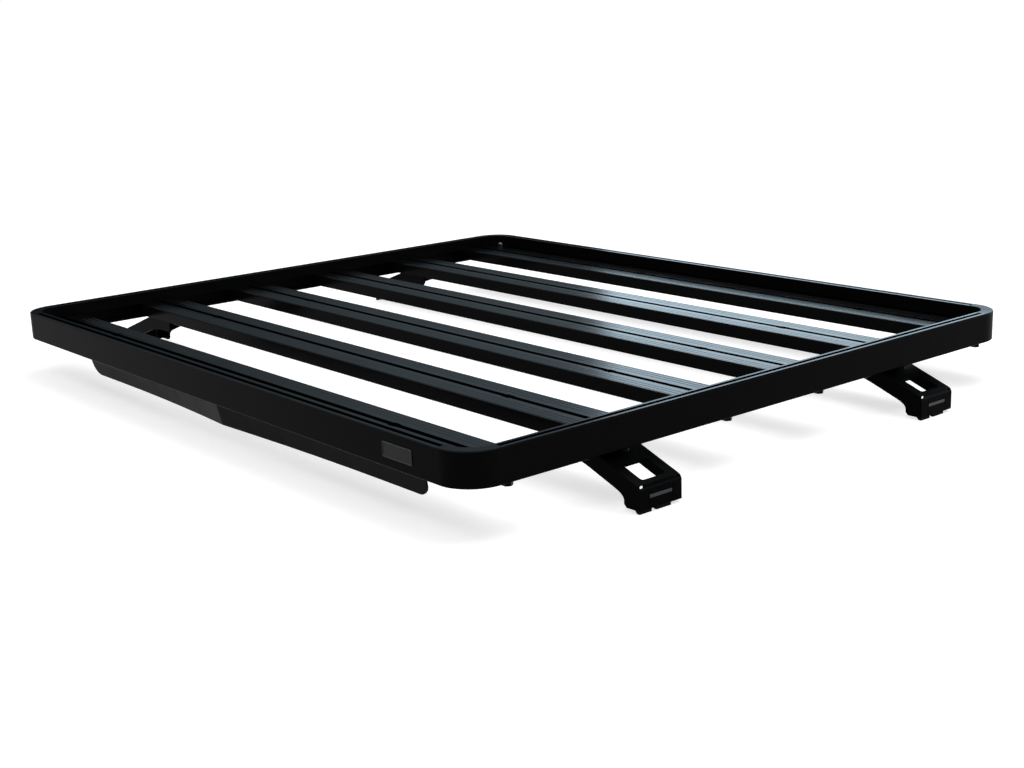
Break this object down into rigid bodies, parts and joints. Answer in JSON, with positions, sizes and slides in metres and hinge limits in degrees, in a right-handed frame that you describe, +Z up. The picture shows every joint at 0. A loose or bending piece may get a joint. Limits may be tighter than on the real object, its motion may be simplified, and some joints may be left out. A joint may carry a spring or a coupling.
{
  "type": "truck bed rack",
  "caption": "Low open cargo tray for a truck bed: slotted slats in a rounded rim, on folded steel feet, with a bowed wind deflector below the front rail.",
  "frame": {"origin": "centre of the bounding box at the ground, under the four feet", "axes": "+X to the right across the vehicle, +Y to the rear, -Y to the front with the wind deflector, +Z up"},
  "size_m": [1.461, 1.156, 0.119],
  "materials": {
    "rail": "satin black powder coat",
    "corner": "satin black powder coat on castings",
    "slat": "semi-gloss black powder coat",
    "foot": "satin black powder coat on folded steel",
    "deflector": "satin black powder coat on sheet",
    "pad": "matt moulded rubber",
    "bolt": "black zinc flake"
  },
  "bodies": {
    "root": {"front_rail": "rail", "rear_rail": "rail", "left_rail": "rail", "right_rail": "rail", "corner_front_left": "corner", "corner_front_right": "corner", "corner_rear_left": "corner", "corner_rear_right": "corner", "slat_1": "slat", "slat_2": "slat", "slat_3": "slat", "slat_4": "slat", "slat_5": "slat", "slat_6": "slat", "left_rail_bolts": "bolt", "right_rail_bolts": "bolt", "foot_front_left": "foot", "foot_front_right": "foot", "foot_rear_left": "foot", "foot_rear_right": "foot", "pads_front_left": "pad", "pads_front_right": "pad", "pads_rear_left": "pad", "pads_rear_right": "pad", "foot_bolts_front_left": "bolt", "foot_bolts_front_right": "bolt", "foot_bolts_rear_left": "bolt", "foot_bolts_rear_right": "bolt", "wind_deflector": "deflector", "deflector_bolts": "bolt"}
  },
  "joints": []
}
